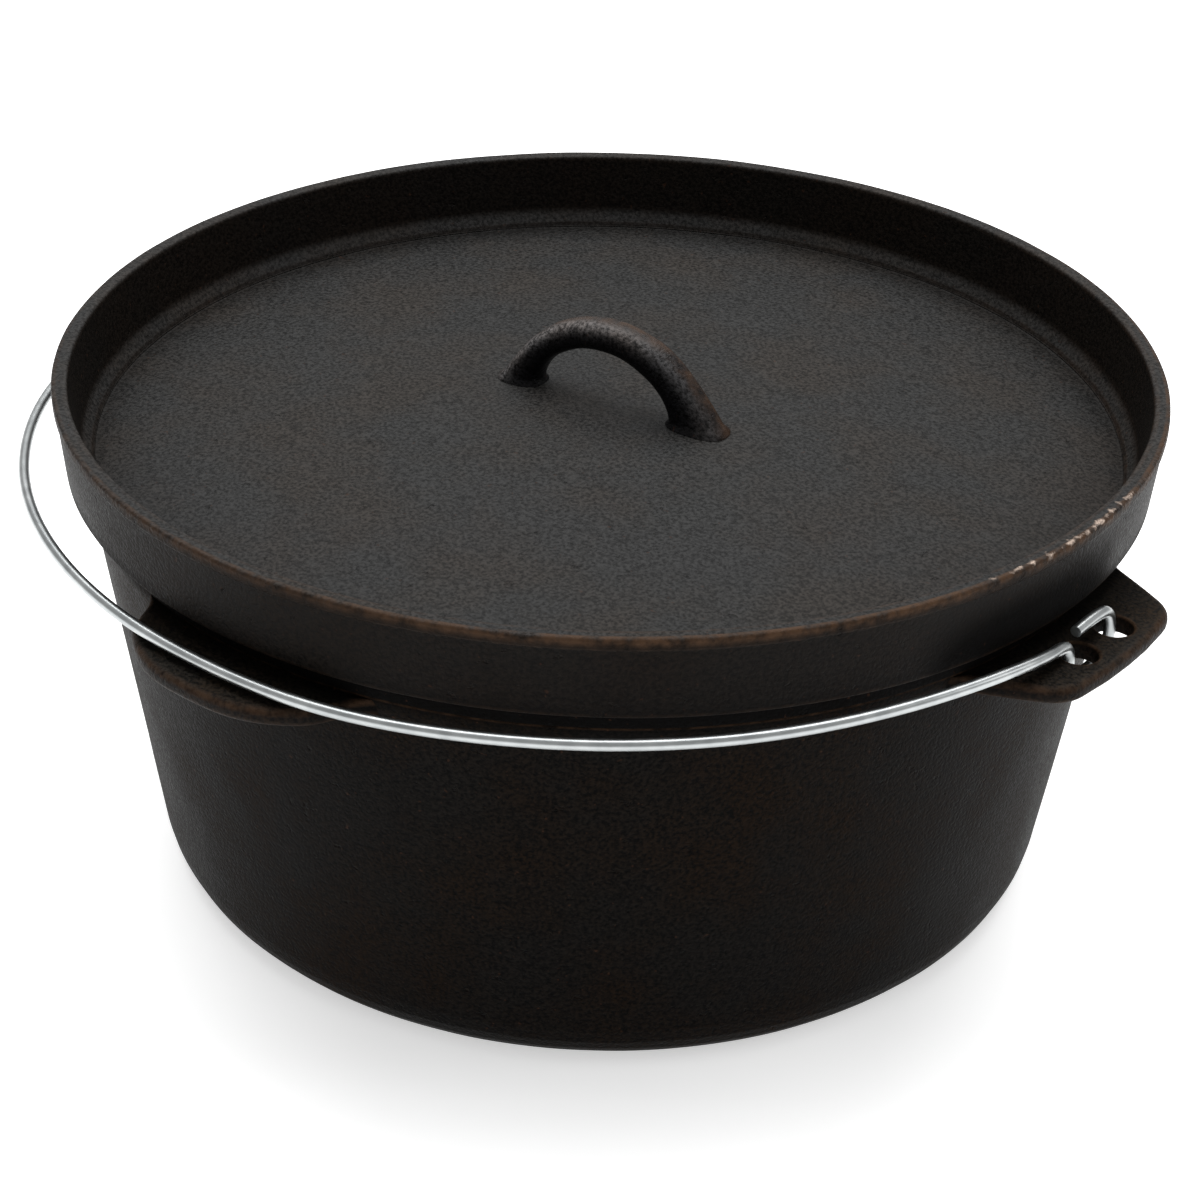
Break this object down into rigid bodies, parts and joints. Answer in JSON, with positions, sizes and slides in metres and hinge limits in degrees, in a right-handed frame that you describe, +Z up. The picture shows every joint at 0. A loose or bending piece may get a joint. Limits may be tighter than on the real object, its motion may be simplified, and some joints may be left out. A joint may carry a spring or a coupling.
{
  "type": "camp dutch oven",
  "caption": "Round cast-iron camp cooking pot with a flat base, a dished lid with a tall coal rim and loop handle, and a swinging wire bail.",
  "frame": {"origin": "middle of the pot's flat base, on the pot's axis", "axes": "+Z up along the pot's axis, X through the two bail ears, -Y towards the rest tab that the bail lies on"},
  "size_m": [0.4098, 0.389, 0.1918],
  "materials": {
    "seasoned_iron": "satin",
    "galvanised_wire": "satin"
  },
  "bodies": {
    "pot": {"pot": "seasoned_iron"},
    "lid": {"lid": "seasoned_iron"},
    "bail": {"bail": "galvanised_wire"}
  },
  "joints": [
    {"name": "lid_lift", "type": "slide", "parent": "pot", "child": "lid", "axis": [0, 0, 1], "range_m": [0, 0.16]},
    {"name": "bail_swing", "type": "hinge", "parent": "pot", "child": "bail", "pos_m": [0, 0, 0.1398], "axis": [-1, 0, 0], "range_deg": [0, 135]}
  ]
}
